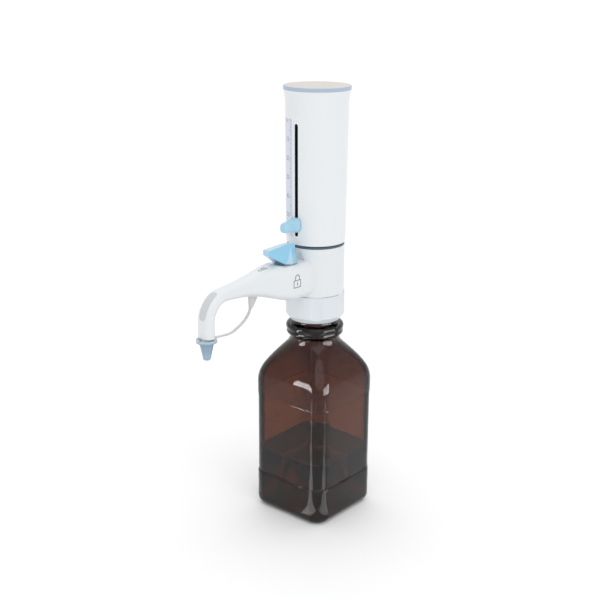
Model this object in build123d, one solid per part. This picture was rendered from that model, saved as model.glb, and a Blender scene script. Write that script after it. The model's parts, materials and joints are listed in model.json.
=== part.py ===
from build123d import *
from math import cos, degrees, radians, sin, sqrt
import os

os.makedirs("parts", exist_ok=True)

# Millimetres.  +Z is up, the origin is the centre of the bottle's base, and the discharge arm,
# the valve lever and the volume slot all point along -Y, square to one face of the bottle.

# ---------------------------------------------------------------- driving dimensions
# Fits
running_gap = 0.05          # radial, between a shaft or piston and its bore
body_gap = 0.3              # between pieces that move past each other
seat_gap = 0.1              # between pieces of one assembly that are pushed together

# Square reagent bottle
bottle_height = 224.0
bottle_side = 90.0
bottle_corner = 15.0
bottle_wall = 2.8
bottle_floor = 4.5
base_round = 9.0
shoulder_drop = 88.0        # from the mouth down to where the shoulder starts
shoulder_rise = 48.5
neck_roundness = 0.985  # how near to a full circle the last square section comes
shoulder_profile = (
    # share of the shoulder's rise, share of the way in from the body's corners to the neck
    (0.00, 0.000),
    (0.13, 0.016),
    (0.27, 0.085),
    (0.40, 0.208),
    (0.55, 0.403),
    (0.70, 0.635),
    (0.83, 0.853),
    (0.91, 0.958),
    (1.00, 1.000),
)
label_low = 38.5
label_margin = 12.5         # from the label panel's upper edge to the shoulder
label_depth = 0.6
neck_radius = 24.7
neck_bore = 18.0
bead_radius = 28.9
bead_round = 3.6
bead_drop = 28.2            # from the mouth down to the middle of the bead
ledge_radius = 28.4
ledge_round = 3.0
ledge_drop = 33.8
thread_radius = 22.3

# Screw collar, washer and coupling
collar_radius = 29.2
collar_skirt = 20.2
collar_roof = 3.3
collar_chamfer = 4.2
flute_count = 6
flute_width = 18.6
flute_depth = 1.5
flute_phase = 42.6
collar_lip = 2.7
spigot_radius = 19.4
seal_washer = 1.0
coupling_thick = 2.7
coupling_radius = 21.6

# Valve head
head_radius = 28.35
head_height = 48.0
head_floor = 3.0
head_wall = 3.2
chamber_rise = 30.4
guide_bore = 22.0
pocket_base = 19.4
pocket_lean = 0.24          # how much the pocket's radius shrinks per millimetre of height

# Discharge arm
arm_half_width = 17.5
arm_half_height = 17.2
arm_corner = 8.0
arm_rise = 19.6             # from the head's underside to the middle of the arm
arm_root = 8.0
arm_boss_start = 34.0
arm_boss_end = 48.0
nozzle_half_width = 8.2
nozzle_half_depth = 5.5
nozzle_round = 5.2
elbow_reach = 130.0
elbow_rise = 3.4
elbow_radius = 21.5
nozzle_drop = 14.0
tube_radius = 2.4
tube_wall = 0.8
pad_half_width = 3.9
pad_thick = 0.9
pad_low_angle = 7.0
pad_high_angle = 70.0

# Valve lever and spindle
lever_reach = 44.5
lever_tip_reach = 72.5
lever_tip_half_width = 3.8
lever_tip_thick = 5.0
lever_foot_half_width = 9.4
lever_back = 11.2
lever_height = 18.5
lever_disc = 1.6
lever_cone_radius = 11.4
lever_cone_top = 2.4
spindle_radius = 6.5
spindle_depth = 8.2
spindle_hole = 1.6

# Outer sleeve
sleeve_gap = 2.6
seal_inset = 0.8
sleeve_bottom_radius = 28.95
sleeve_height = 146.2
sleeve_straight = 119.8
sleeve_flare_radius = 30.2
sleeve_rim_radius = 32.3
sleeve_wall = 2.9
sleeve_edge = 0.8
roof_drop = 14.4
roof_thick = 4.0
slot_width = 4.0
slot_rise = 9.0
slot_length = 107.4
scale_inner_angle = 12.2
scale_outer_angle = 39.0
scale_rise = 7.8
scale_thick = 0.4
top_ring_height = 3.4
cap_dome = 0.9
cap_edge = 0.9

# Volume selector
selector_rise = 20.4
selector_half_height = 6.6
selector_half_width = 5.8
selector_reach = 49.2
selector_saddle = 3.0
selector_edge = 1.6
selector_rib_pitch = 2.4
selector_rib_width = 0.7
selector_rib_depth = 1.2
selector_clamp_height = 10.0
selector_clamp_thick = 1.6
selector_clamp_half_width = 4.0
stroke = 89.0

# Cylinder and piston
cylinder_bore = 13.3
cylinder_wall = 2.2
cylinder_height = 130.0
guide_radius = 21.5
guide_wall = 2.0
stop_radius = 25.2
stop_thick = 2.6
piston_rest = 4.0
piston_head_radius = 7.0
piston_seal_height = 4.0
piston_seal_thick = 2.4
stud_radius = 4.0
stud_height = 6.0
nut_radius = 9.0
nut_height = 4.5

# Filling tube, valves and balls
valve_flange = 5.0
block_radius = 19.0
seat_drop = 4.3             # from the coupling's underside down to the filling valve's seat
seat_thick = 2.5
seat_bore = 1.9
fill_valve_radius = 7.0
fill_valve_length = 11.0
valve_lip = 2.0
fill_tube_radius = 4.2
fill_tube_bore = 3.1
fill_tube_length = 106.5
dip_tube_end = 12.0
dip_tube_length = 164.0
dip_tube_bore = 1.9
ball_radius = 2.6
ball_clearance = 1.2
ball_seat_rise = 1.4
valve_passage = 3.2
barrel_radius = 4.8
barrel_bore = 1.7
barrel_seat = 4.0
recirculation_radius = 1.6
recirculation_wall = 0.6
recirculation_offset = 11.5
recirculation_drop = 34.0

# Nozzle cap and its strap
ring_radius = 9.5
ring_drop = 3.0
ring_thick = 1.6
ring_hole_radius = 1.25
ring_hole_circle = 7.3
lip_thick = 1.3
cap_top_radius = 6.0
cap_tip_radius = 2.6
cap_drop = 21.0
cap_tip_edge = 0.9
cap_rib_count = 10
cap_rib_width = 1.5
cap_rib_height = 0.5
fitting_radius = 4.4
fitting_drop = 14.0
fitting_step = 1.0
strap_half_width = 1.6
strap_thick = 1.2
clip_reach = 90.4
clip_half_length = 5.0
clip_drop = 11.0

# ---------------------------------------------------------------- heights, from the base up
shoulder_start = bottle_height - shoulder_drop
label_high = shoulder_start - label_margin
bead_height = bottle_height - bead_drop
ledge_height = bottle_height - ledge_drop
washer_bottom = bottle_height + body_gap
coupling_bottom = washer_bottom + seal_washer
coupling_top = coupling_bottom + coupling_thick
collar_bottom = bottle_height - collar_skirt
collar_top = coupling_top + collar_roof
head_bottom = collar_top + body_gap
head_top = head_bottom + head_height
chamber_top = head_bottom + chamber_rise
arm_middle = head_bottom + arm_rise
boss_top = arm_middle + arm_half_height
elbow_height = head_bottom + elbow_rise
elbow_top = elbow_height + elbow_radius
nozzle_end = elbow_height - nozzle_drop
lever_low = boss_top + body_gap
lever_top = lever_low + lever_height
spindle_bottom = arm_middle - spindle_depth
sleeve_bottom = head_top + sleeve_gap
sleeve_flare_start = sleeve_bottom + sleeve_straight
sleeve_top = sleeve_bottom + sleeve_height
roof_bottom = sleeve_top - roof_drop
roof_top = roof_bottom + roof_thick
slot_low = sleeve_bottom + slot_rise
slot_high = slot_low + slot_length
scale_low = sleeve_bottom + scale_rise
selector_height = sleeve_bottom + selector_rise
cylinder_top = chamber_top + cylinder_height
piston_bottom = chamber_top + piston_rest
seat_top = coupling_bottom - seat_drop
seat_bottom = seat_top - seat_thick
fill_valve_bottom = seat_top - fill_valve_length
ring_bottom = nozzle_end - ring_drop
cap_tip = nozzle_end - cap_drop
fitting_end = nozzle_end - fitting_drop
nozzle_reach = elbow_reach + elbow_radius
recirculation_end = bottle_height - recirculation_drop


# ---------------------------------------------------------------- helpers
def tube(outer, inner, low, high):
    """A ring or tube about the Z axis."""
    wall = Circle(outer) - Circle(inner)
    return Pos(0, 0, low) * extrude(wall, high - low)


def rod(radius, low, high, x=0.0, y=0.0):
    """A plain cylinder with a vertical axis."""
    return Pos(x, y, low) * extrude(Circle(radius), high - low)


def turned(points):
    """A closed outline of (radius, height) points turned about the Z axis."""
    outline = Polyline([(r, 0, z) for r, z in points], close=True)
    return revolve(make_face(outline), Axis.Z)


def rounded_square(half_side, corner, height):
    return Pos(0, 0, height) * RectangleRounded(2 * half_side, 2 * half_side, corner)


def along_arm(radius, start, end, height=arm_middle):
    """A plain cylinder that lies along the arm's middle plane, from reach start to reach end."""
    plane = Plane(origin=(0, -start, height), x_dir=(1, 0, 0), z_dir=(0, -1, 0))
    return extrude(plane * Circle(radius), end - start)


def front_box(half_width, near, far, low, high):
    """A block on the middle plane, from reach near to reach far along -Y."""
    size = (2 * half_width, far - near, high - low)
    return Pos(0, -(near + far) / 2, (low + high) / 2) * Box(*size)


def side_outline(points, half_width):
    """A closed outline of (reach, height) points, given thickness along X."""
    face = make_face(Polyline([(0, -r, z) for r, z in points], close=True))
    return extrude(face, half_width, both=True)


parts = {}


# ---------------------------------------------------------------- bottle
def shoulder_sections(inset):
    """Rounded squares that draw in along the shoulder's profile and turn round on the way up."""
    diagonal = sqrt(2)
    reach = (bottle_side / 2 - bottle_corner) * diagonal + bottle_corner
    start_round = bottle_corner / (bottle_side / 2)
    sections = []
    for climb, drawn in shoulder_profile:
        height = shoulder_start + climb * (shoulder_rise - inset)
        width = reach - drawn * (reach - neck_radius) - inset
        roundness = start_round + (neck_roundness - start_round) * drawn ** 2
        half_side = width / (diagonal * (1 - roundness) + roundness)
        sections.append(rounded_square(half_side, half_side * roundness, height))
    return sections


def bottle_form(inset, floor):
    """The square body and its shoulder, drawn in by the wall on the inside."""
    half_side = bottle_side / 2 - inset
    body = extrude(rounded_square(half_side, bottle_corner - inset, floor), shoulder_start - floor)
    body = fillet(body.edges().group_by(Axis.Z)[0], base_round - inset)
    return body + loft(shoulder_sections(inset))


def make_bottle():
    shape = bottle_form(0.0, 0.0)
    shoulder_top = shoulder_start + shoulder_rise
    shape = shape + rod(neck_radius, shoulder_top - ledge_round, bead_height)
    shape = shape + rod(thread_radius, bead_height, bottle_height)
    shape = shape + Pos(0, 0, bead_height) * Torus(bead_radius - bead_round, bead_round)
    shape = shape + Pos(0, 0, ledge_height) * Torus(ledge_radius - ledge_round, ledge_round)
    flank = ledge_radius - ledge_round / 2
    shape = shape + turned(
        [
            (neck_bore + 1, ledge_height - 2.4 * ledge_round),
            (neck_radius, ledge_height - 2.4 * ledge_round),
            (flank, ledge_height - 0.8 * ledge_round),
            (neck_bore + 1, ledge_height),
        ]
    )
    half_side = bottle_side / 2
    band = rounded_square(half_side + 1, bottle_corner + 1, label_low)
    band = band - rounded_square(half_side - label_depth, bottle_corner - label_depth, label_low)
    shape = shape - extrude(band, label_high - label_low)
    hollow = bottle_form(bottle_wall, bottle_floor)
    hollow = hollow + rod(neck_bore, shoulder_top - bottle_wall - ledge_round, bottle_height + 1)
    return shape - hollow


parts["reagent_bottle"] = make_bottle()


# ---------------------------------------------------------------- collar and coupling
def make_collar():
    outline = [
        (thread_radius + body_gap, collar_bottom),
        (collar_radius - collar_chamfer, collar_bottom),
        (collar_radius, collar_bottom + 1.3 * collar_chamfer),
        (collar_radius, collar_top),
        (spigot_radius + body_gap, collar_top),
        (spigot_radius + body_gap, collar_top - collar_lip),
        (thread_radius + body_gap, collar_top - collar_lip),
    ]
    shape = turned(outline)
    flute_round = (flute_width ** 2 / 4 + flute_depth ** 2) / (2 * flute_depth)
    flute_reach = collar_radius - flute_depth + flute_round
    for turn in range(flute_count):
        angle = radians(flute_phase + turn * 360 / flute_count)
        shape -= rod(
            flute_round,
            collar_bottom - 1,
            collar_top + 1,
            flute_reach * sin(angle),
            -flute_reach * cos(angle),
        )
    return shape


parts["screw_collar"] = make_collar()
parts["bottle_seal"] = tube(thread_radius - 0.5, neck_bore, washer_bottom, coupling_bottom)
valve_hole = fill_valve_radius + valve_lip + seat_gap
coupling = tube(coupling_radius, valve_hole, coupling_bottom, coupling_top)
parts["coupling_flange"] = coupling - rod(
    recirculation_radius + seat_gap, coupling_bottom - 1, coupling_top + 1, 0, recirculation_offset
)


# ---------------------------------------------------------------- head housing with its arm
def arm_section(reach, middle, half_width, half_height, corner):
    plane = Plane(origin=(0, -reach, middle), x_dir=(1, 0, 0), z_dir=(0, -1, 0))
    return plane * RectangleRounded(2 * half_width, 2 * half_height, corner)


elbow_axis = Axis((0, -elbow_reach, elbow_height), (1, 0, 0))


def make_arm():
    """A boss as deep as the head that thins to an oval tube, bends down and ends as the nozzle."""
    taper = (
        # share of the reach, rise, width, height, corner: each from the boss (0) to the elbow (1)
        (0.00, 0.00, 0.00, 0.00, 0.00),
        (0.25, 0.62, 0.37, 0.16, 0.00),
        (0.45, 0.93, 0.65, 0.47, 0.21),
        (0.67, 1.05, 0.83, 0.78, 0.57),
        (1.00, 1.00, 1.00, 1.00, 1.00),
    )
    sections = [
        arm_section(reach, arm_middle, arm_half_width, arm_half_height, arm_corner)
        for reach in (arm_root, arm_boss_start)
    ]
    for share, lift, narrow, thin, tighten in taper:
        sections.append(
            arm_section(
                arm_boss_end + share * (elbow_reach - arm_boss_end),
                arm_middle + lift * (elbow_top - arm_middle),
                arm_half_width + narrow * (nozzle_half_width - arm_half_width),
                arm_half_height + thin * (nozzle_half_depth - arm_half_height),
                arm_corner + tighten * (nozzle_round - arm_corner),
            )
        )
    root = loft(sections[:3], ruled=True)
    arm = root + loft(sections[2:])
    last = sections[-1]
    elbow = revolve(last, elbow_axis, 90)
    nozzle = Pos(0, -nozzle_reach, nozzle_end) * RectangleRounded(
        2 * nozzle_half_width, 2 * nozzle_half_depth, nozzle_round
    )
    nozzle = extrude(nozzle, elbow_height - nozzle_end)
    return arm, elbow, nozzle


def tube_path_solid(radius, start_reach, end_height):
    """The discharge line: straight along the arm, round the elbow and down the nozzle."""
    run = along_arm(radius, start_reach, elbow_reach, elbow_top)
    section = Plane(origin=(0, -elbow_reach, elbow_top), x_dir=(1, 0, 0), z_dir=(0, -1, 0))
    bend = revolve(section * Circle(radius), elbow_axis, 90)
    drop = rod(radius, end_height, elbow_height, 0, -nozzle_reach)
    return run + bend + drop


def pad_block(half_width, inner, outer, low_angle, high_angle):
    """A strip that follows the outside of the elbow, between angles measured from level."""
    section = Plane(origin=(0, -elbow_reach, elbow_height), x_dir=(1, 0, 0), z_dir=(0, -1, 0)) * (
        Pos(0, (inner + outer) / 2) * Rectangle(2 * half_width, outer - inner)
    )
    strip = revolve(section, elbow_axis, high_angle - low_angle)
    corners = strip.edges().filter_by(lambda e: abs(e.length - outer + inner) < 0.01)
    return fillet(corners, half_width - seat_gap).rotate(elbow_axis, 90 - high_angle)


def make_head():
    arm, elbow, nozzle = make_arm()
    shape = rod(head_radius, head_bottom, head_top) + arm + elbow + nozzle
    pad_slack = degrees(seat_gap / elbow_outside)
    shape -= pad_block(
        pad_half_width + seat_gap,
        elbow_outside - pad_thick,
        elbow_outside + pad_thick,
        pad_low_angle - pad_slack,
        pad_high_angle + pad_slack,
    )
    chamber = rod(head_radius - head_wall, head_bottom + head_floor, chamber_top)
    shape -= chamber
    shape -= rod(guide_bore, chamber_top - 1, head_top + 1)
    shape -= rod(spigot_radius + seat_gap, head_bottom - 1, head_bottom + head_floor + 1)
    pocket_height = head_top - boss_top
    pocket = Pos(0, -lever_reach, boss_top + pocket_height / 2) * Cone(
        pocket_base, pocket_base - pocket_lean * pocket_height, pocket_height
    )
    shape -= pocket
    shape -= rod(spindle_radius + running_gap, spindle_bottom, boss_top + 5, 0, -lever_reach)
    shape -= tube_path_solid(tube_radius + body_gap, lever_reach, nozzle_end - 1)
    shape -= along_arm(barrel_radius + seat_gap, block_radius - 1, barrel_end + seat_gap)
    shape -= along_arm(barrel_bore + body_gap, block_radius - 1, lever_reach)
    return shape


elbow_outside = elbow_radius + nozzle_half_depth
barrel_start = block_radius + seat_gap
barrel_end = lever_reach - spindle_radius - 1.5
parts["head_housing"] = make_head()
parts["elbow_grip_pad"] = pad_block(
    pad_half_width, elbow_outside - pad_thick, elbow_outside, pad_low_angle, pad_high_angle
)


# ---------------------------------------------------------------- valve block and its valves
def make_valve_block():
    """The inner block: a spigot through the collar, a flange on the head's floor, and the body."""
    floor = head_bottom + head_floor
    shape = rod(spigot_radius, coupling_top, floor)
    shape += rod(head_radius - head_wall - seat_gap, floor, floor + valve_flange)
    shape += rod(block_radius, floor, chamber_top)
    shape -= rod(valve_hole, coupling_top - 1, floor)
    shape -= rod(valve_passage, floor - 1, chamber_top + 1)
    shape -= along_arm(barrel_bore + body_gap, 0, block_radius + 1)
    shape -= rod(
        recirculation_radius + seat_gap, coupling_top - 1, floor + 2, 0, recirculation_offset
    )
    return shape


parts["valve_block"] = make_valve_block()

# Filling valve: a threaded body hung in the spigot, a seat and a loose ball
valve_top = head_bottom + head_floor
cage_radius = ball_radius + ball_clearance
parts["filling_valve_body"] = turned(
    [
        (cage_radius, seat_top),
        (cage_radius, seat_bottom),
        (fill_tube_radius + seat_gap, seat_bottom),
        (fill_tube_radius + seat_gap, fill_valve_bottom),
        (fill_valve_radius, fill_valve_bottom),
        (fill_valve_radius, washer_bottom),
        (fill_valve_radius + valve_lip, coupling_bottom),
        (fill_valve_radius + valve_lip, valve_top),
        (valve_passage, valve_top),
        (valve_passage, valve_top - valve_lip),
        (cage_radius, valve_top - valve_lip),
    ]
)
parts["filling_valve_seat"] = turned(
    [
        (seat_bore, seat_bottom),
        (cage_radius - seat_gap, seat_bottom),
        (cage_radius - seat_gap, seat_top),
        (ball_radius, seat_top),
        (seat_bore, seat_top - ball_radius + seat_bore),
    ]
)
parts["filling_valve_ball"] = Pos(0, 0, seat_top + ball_seat_rise) * Sphere(ball_radius)

# Discharge valve: a short barrel that lies along the arm between the block and the spindle
barrel = along_arm(barrel_radius, barrel_start, barrel_end)
barrel -= along_arm(cage_radius, barrel_start + barrel_seat, barrel_end - ball_clearance)
barrel -= along_arm(barrel_bore, barrel_start - 1, barrel_end + 1)
parts["discharge_valve_body"] = barrel
ball_reach = barrel_start + barrel_seat + ball_radius + seat_gap
parts["discharge_valve_ball"] = Pos(0, -ball_reach, arm_middle) * Sphere(ball_radius)


# ---------------------------------------------------------------- discharge line and nozzle
line_start = lever_reach + spindle_radius + body_gap
line = tube_path_solid(tube_radius, line_start, fitting_end)
line -= tube_path_solid(tube_radius - tube_wall, line_start - 1, fitting_end - 1)
parts["discharge_tube"] = line

fitting = turned(
    [
        (tube_radius + seat_gap, fitting_end + fitting_step),
        (fitting_radius - fitting_step, fitting_end + fitting_step),
        (fitting_radius, ring_bottom - ring_drop),
        (fitting_radius, ring_bottom + ring_thick + body_gap),
        (nozzle_half_depth - body_gap, nozzle_end - tube_wall),
        (nozzle_half_depth - body_gap, nozzle_end),
        (tube_radius + seat_gap, nozzle_end),
    ]
)
parts["nozzle_fitting"] = Pos(0, -nozzle_reach, 0) * fitting


# ---------------------------------------------------------------- cap, ring and strap
def make_cap_ring():
    ring = tube(ring_radius, fitting_radius + body_gap, ring_bottom, ring_bottom + ring_thick)
    for turn in range(4):
        angle = radians(90 * turn)
        ring -= rod(
            ring_hole_radius,
            ring_bottom - 1,
            ring_bottom + ring_thick + 1,
            ring_hole_circle * cos(angle),
            ring_hole_circle * sin(angle),
        )
    return Pos(0, -nozzle_reach, 0) * ring


def make_cap():
    """A hollow cone with a lip, gripped by upright ribs that run out towards its tip."""
    lip_bottom = ring_bottom - lip_thick
    shape = turned(
        [
            (0, cap_tip),
            (cap_tip_radius, cap_tip),
            (cap_tip_radius + cap_tip_edge, cap_tip + cap_tip_edge),
            (cap_top_radius, lip_bottom),
            (ring_radius - lip_thick / 4, lip_bottom),
            (ring_radius, lip_bottom + lip_thick / 4),
            (ring_radius, ring_bottom),
            (0, ring_bottom),
        ]
    )
    rib_low = cap_tip + 2 * cap_tip_edge
    rib_outline = [
        (cap_tip_radius + cap_tip_edge, rib_low),
        (cap_top_radius + cap_rib_height, lip_bottom - cap_tip_edge),
        (cap_top_radius + cap_rib_height, lip_bottom + lip_thick / 2),
        (-cap_top_radius - cap_rib_height, lip_bottom + lip_thick / 2),
        (-cap_top_radius - cap_rib_height, lip_bottom - cap_tip_edge),
        (-cap_tip_radius - cap_tip_edge, rib_low),
    ]
    rib_pair = side_outline(rib_outline, cap_rib_width / 2)
    for turn in range(cap_rib_count // 2):
        shape += rib_pair.rotate(Axis.Z, turn * 360 / cap_rib_count)
    bore = turned(
        [
            (0, fitting_end - body_gap - tube_wall),
            (tube_radius + body_gap, fitting_end - body_gap - tube_wall),
            (tube_radius + body_gap, fitting_end + fitting_step - body_gap),
            (fitting_radius - fitting_step + body_gap, fitting_end + fitting_step - body_gap),
            (fitting_radius + body_gap, ring_bottom - ring_drop - body_gap),
            (fitting_radius + body_gap, ring_bottom + 1),
            (0, ring_bottom + 1),
        ]
    )
    return Pos(0, -nozzle_reach, 0) * (shape - bore)


parts["cap_ring"] = make_cap_ring()
parts["screw_cap"] = make_cap()


strap_start = (clip_reach + 0.7 * clip_half_length, elbow_top - nozzle_half_depth - clip_drop - 5.5)
strap_end = (nozzle_reach - ring_radius - seat_gap, ring_bottom + ring_thick / 2)


def make_clip():
    """A wedge that narrows from the arm's underside down to the strap."""
    outline = [
        (clip_reach - clip_half_length, arm_middle),
        (clip_reach + clip_half_length, arm_middle),
        (clip_reach + clip_half_length, strap_start[1] + clip_drop),
        (strap_start[0] + strap_thick * 0.7, strap_start[1]),
        (strap_start[0] - strap_thick * 0.7, strap_start[1]),
        (clip_reach - clip_half_length, strap_start[1] + clip_drop),
    ]
    wedge = side_outline(outline, strap_half_width + 0.4) - make_arm()[0]
    return Pos(0, 0, -seat_gap) * wedge.solids().sort_by(Axis.Z)[0]


def make_strap():
    """A flat band that hangs in a curve from the clip to the cap's ring."""
    start_run = (strap_start[0] + 1.0, strap_start[1])
    path = Spline(
        [
            (0, -start_run[0], start_run[1] - 0.1),
            (0, -(start_run[0] + 9.5), start_run[1] - 10.5),
            (0, -(start_run[0] + 24.0), start_run[1] - 16.6),
            (0, -strap_end[0], strap_end[1]),
        ],
        tangents=[(0, -0.35, -1), (0, -1, 0.16)],
    )
    section = Plane(origin=path @ 0, x_dir=(1, 0, 0), z_dir=path % 0) * Rectangle(
        2 * strap_half_width, strap_thick
    )
    return sweep(section, path=path)


parts["strap_clip"] = make_clip()
parts["cap_strap"] = make_strap()


# ---------------------------------------------------------------- valve lever
def make_lever():
    """A tapering blade with sloping flanks, on a cone that spreads down to the hub's disc."""
    disc_top = lever_low + lever_disc
    side = [
        (lever_tip_reach, lever_top - lever_tip_thick - 1.0),
        (lever_tip_reach, lever_top - 1.0),
        (lever_reach + 2, lever_top),
        (lever_reach - lever_back, lever_top - 1.2),
        (lever_reach - lever_back, disc_top),
        (lever_reach + 7.5, disc_top),
        (lever_reach + 13.0, disc_top + 5.0),
    ]
    blade = side_outline(side, lever_cone_radius)
    flanks = Polyline(
        [
            (-lever_foot_half_width, lever_low),
            (lever_foot_half_width, lever_low),
            (lever_tip_half_width, lever_top),
            (-lever_tip_half_width, lever_top),
        ],
        close=True,
    )
    ridge = Plane(origin=(0, 0, 0), x_dir=(1, 0, 0), z_dir=(0, -1, 0)) * make_face(flanks)
    blade = blade & extrude(ridge, lever_tip_reach + 1)
    plan = Polyline(
        [
            (lever_tip_half_width, -lever_tip_reach),
            (-lever_tip_half_width, -lever_tip_reach),
            (-lever_foot_half_width, -lever_reach - 2),
            (-lever_foot_half_width * 0.62, -lever_reach + lever_back),
            (lever_foot_half_width * 0.62, -lever_reach + lever_back),
            (lever_foot_half_width, -lever_reach - 2),
        ],
        close=True,
    )
    blade = blade & (Pos(0, 0, lever_low - 1) * extrude(make_face(plan), lever_height + 2))
    cone_height = lever_top - 1.6 - disc_top
    hub = Pos(0, -lever_reach, disc_top + cone_height / 2) * Cone(
        lever_cone_radius, lever_cone_top, cone_height
    )
    return blade + hub + rod(lever_cone_radius, lever_low, disc_top, 0, -lever_reach)


parts["valve_lever"] = make_lever()


def make_spindle():
    shape = rod(spindle_radius, spindle_bottom + body_gap, lever_low, 0, -lever_reach)
    port_start = lever_reach - spindle_radius - 1
    shape -= along_arm(tube_radius - tube_wall, port_start, lever_reach + spindle_radius + 1)
    screw_hole = rod(spindle_hole, arm_middle + spindle_radius, lever_low + 1, 0, -lever_reach)
    return shape - screw_hole


parts["valve_spindle"] = make_spindle()


# ---------------------------------------------------------------- cylinder, guide and ring
cylinder_radius = cylinder_bore + cylinder_wall
parts["glass_cylinder"] = tube(cylinder_radius, cylinder_bore, chamber_top, cylinder_top)
cylinder_seat = cylinder_radius + 2 * body_gap
stop_bottom = selector_height + selector_clamp_height / 2 + stroke + 2 * body_gap
stop_top = stop_bottom + stop_thick
parts["guide_sleeve"] = turned(
    [
        (guide_radius - guide_wall, chamber_top),
        (guide_radius, chamber_top),
        (guide_radius, stop_bottom),
        (stop_radius, stop_bottom),
        (stop_radius, stop_top),
        (cylinder_seat, stop_top),
        (cylinder_seat, stop_top - guide_wall),
        (guide_radius - guide_wall, stop_top - guide_wall),
    ]
)
parts["seal_ring"] = tube(
    head_radius - seal_inset, guide_radius + seat_gap, head_top, head_top + sleeve_gap - 2 * body_gap
)


# ---------------------------------------------------------------- outer sleeve
draft = (sleeve_flare_radius - sleeve_bottom_radius) / (sleeve_flare_start - sleeve_bottom)


def sleeve_radius(height):
    """Outer radius of the straight, drafted part of the sleeve."""
    return sleeve_bottom_radius + draft * (height - sleeve_bottom)


def make_sleeve():
    """A drafted wall that flares out near its top, with a roof inside and a slot in its front."""
    inner_low = sleeve_bottom_radius - sleeve_wall
    inner_high = sleeve_radius(roof_bottom) - sleeve_wall
    mouth = sleeve_rim_radius - sleeve_wall
    hole = piston_head_radius + seat_gap
    edge_height = sleeve_bottom + sleeve_edge
    wall = Polyline(
        (sleeve_rim_radius, 0, sleeve_top),
        (mouth, 0, sleeve_top),
        (inner_high, 0, roof_top),
        (hole, 0, roof_top),
        (hole, 0, roof_bottom),
        (inner_high, 0, roof_bottom),
        (inner_low, 0, sleeve_bottom),
        (sleeve_bottom_radius - sleeve_edge, 0, sleeve_bottom),
        (sleeve_radius(edge_height), 0, edge_height),
        (sleeve_flare_radius, 0, sleeve_flare_start),
    )
    flare = Spline(
        [(sleeve_flare_radius, 0, sleeve_flare_start), (sleeve_rim_radius, 0, sleeve_top)],
        tangents=[(draft, 0, 1), (0.34, 0, 1)],
    )
    shape = revolve(make_face([wall, flare]), Axis.Z)
    slot_plane = Plane(
        origin=(0, -guide_radius, (slot_low + slot_high) / 2), x_dir=(0, 0, 1), z_dir=(0, -1, 0)
    )
    return shape - extrude(slot_plane * SlotOverall(slot_length, slot_width), guide_radius)


parts["outer_sleeve"] = make_sleeve()


def make_scale():
    """A thin printed strip that follows the drafted sleeve to the left of the slot."""
    shell = turned(
        [
            (sleeve_radius(scale_low) + seat_gap, scale_low),
            (sleeve_radius(scale_low) + scale_thick, scale_low),
            (sleeve_flare_radius + scale_thick, sleeve_flare_start),
            (sleeve_flare_radius + seat_gap, sleeve_flare_start),
        ]
    )
    reach = 2 * sleeve_flare_radius
    start, end = radians(scale_inner_angle), radians(scale_outer_angle)
    wedge = Polyline(
        [
            (0, 0),
            (-reach * sin(start), -reach * cos(start)),
            (-reach * sin(end), -reach * cos(end)),
        ],
        close=True,
    )
    block = extrude(make_face(wedge), sleeve_straight)
    return shell & (Pos(0, 0, scale_low - scale_rise / 2) * block)


parts["scale_strip"] = make_scale()

ring_inner = sleeve_rim_radius - sleeve_wall
parts["top_ring"] = tube(sleeve_rim_radius, ring_inner, sleeve_top, sleeve_top + top_ring_height)


def make_top_cap():
    """A shallow domed lid whose skirt plugs into the sleeve's mouth."""
    rim = sleeve_top + top_ring_height
    skirt = ring_inner - 4 * body_gap
    skirt_bottom = sleeve_top - top_ring_height
    skirt_inner = skirt - sleeve_wall / 2
    edge = sleeve_rim_radius - cap_edge
    shoulder = rim + cap_edge / 2
    dome_radius = (edge ** 2 + cap_dome ** 2) / (2 * cap_dome)
    half_way = shoulder + cap_dome - dome_radius + sqrt(dome_radius ** 2 - edge ** 2 / 4)
    corners = [
        (0, 0, shoulder + cap_dome),
        (0, 0, rim),
        (skirt_inner, 0, rim),
        (skirt_inner, 0, skirt_bottom),
        (skirt, 0, skirt_bottom),
        (skirt, 0, rim),
        (edge + cap_edge / 2, 0, rim),
        (edge, 0, shoulder),
    ]
    dome = ThreePointArc(corners[-1], (edge / 2, 0, half_way), corners[0])
    return revolve(make_face([Polyline(corners), dome]), Axis.Z)


parts["top_cap"] = make_top_cap()


# ---------------------------------------------------------------- piston
piston_radius = cylinder_bore - running_gap
seal_bore = piston_radius - piston_seal_thick
land = piston_bottom + piston_seal_height + 1
parts["piston"] = turned(
    [
        (0, piston_bottom),
        (seal_bore, piston_bottom),
        (seal_bore, land),
        (piston_radius - seat_gap, land),
        (piston_radius - seat_gap, roof_bottom),
        (piston_head_radius, roof_bottom),
        (piston_head_radius, roof_top),
        (stud_radius, roof_top),
        (stud_radius, roof_top + stud_height),
        (0, roof_top + stud_height),
    ]
)
seal_low = piston_bottom + 0.5
parts["piston_seal"] = tube(piston_radius, seal_bore + seat_gap / 2, seal_low, seal_low + piston_seal_height)
nut = RegularPolygon(nut_radius, 6) - Circle(stud_radius + seat_gap)
parts["piston_nut"] = Pos(0, 0, roof_top) * extrude(nut, nut_height)


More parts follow.
